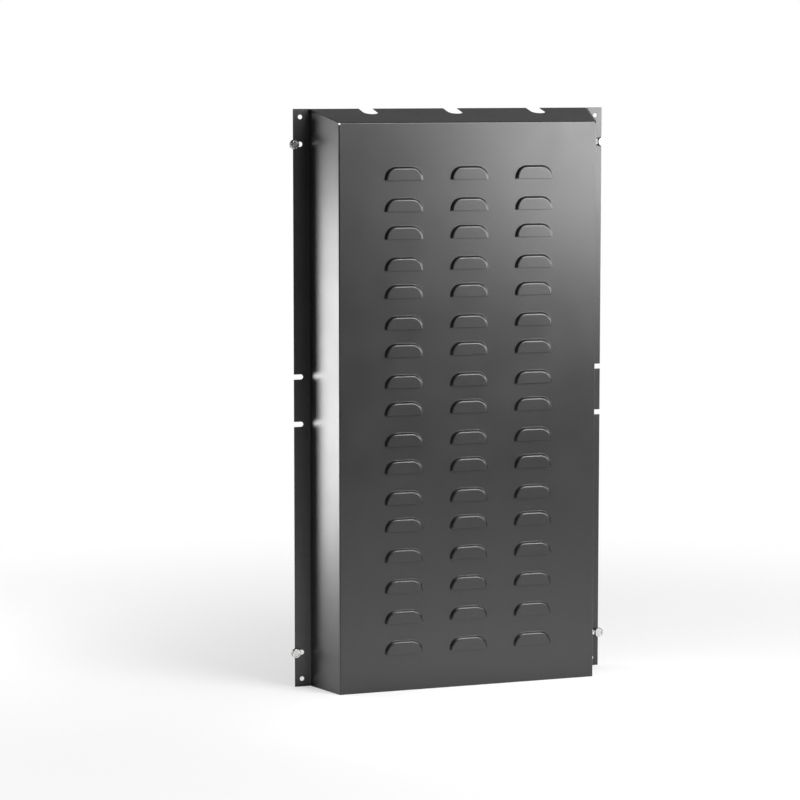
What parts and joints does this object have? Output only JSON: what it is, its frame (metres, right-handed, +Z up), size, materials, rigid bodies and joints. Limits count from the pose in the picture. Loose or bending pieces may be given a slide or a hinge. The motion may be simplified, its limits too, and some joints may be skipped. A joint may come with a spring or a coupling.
{
  "type": "extended rear panel",
  "caption": "Deep tray-shaped rear panel of folded black sheet steel with hood louvres, leaning side and top walls, slotted mounting flanges and thumb screws.",
  "frame": {"origin": "middle of the part's box at floor level; the flanges' mounting plane is at Y = +44 mm", "axes": "+Z up, +X to the right as seen from the louvred front, +Y towards the cabinet that it closes"},
  "size_m": [0.5954, 0.112, 1.013],
  "materials": {
    "black_powder_coat": "satin black powder coat on sheet steel",
    "nickel_plate": "bright nickel plate on turned steel"
  },
  "bodies": {
    "panel": {"rear_panel": "black_powder_coat"},
    "screw_bottom_left": {"thumb_screw_bottom_left": "nickel_plate"},
    "screw_bottom_right": {"thumb_screw_bottom_right": "nickel_plate"},
    "screw_top_left": {"thumb_screw_top_left": "nickel_plate"},
    "screw_top_right": {"thumb_screw_top_right": "nickel_plate"}
  },
  "joints": [
    {"name": "turn_bottom_left", "type": "hinge", "parent": "panel", "child": "screw_bottom_left", "pos_m": [-0.2895, 0.044, 0.061], "axis": [0, 1, 0], "continuous": true},
    {"name": "turn_bottom_right", "type": "hinge", "parent": "panel", "child": "screw_bottom_right", "pos_m": [0.2895, 0.044, 0.061], "axis": [0, 1, 0], "continuous": true},
    {"name": "turn_top_left", "type": "hinge", "parent": "panel", "child": "screw_top_left", "pos_m": [-0.2895, 0.044, 0.952], "axis": [0, 1, 0], "continuous": true},
    {"name": "turn_top_right", "type": "hinge", "parent": "panel", "child": "screw_top_right", "pos_m": [0.2895, 0.044, 0.952], "axis": [0, 1, 0], "continuous": true}
  ]
}
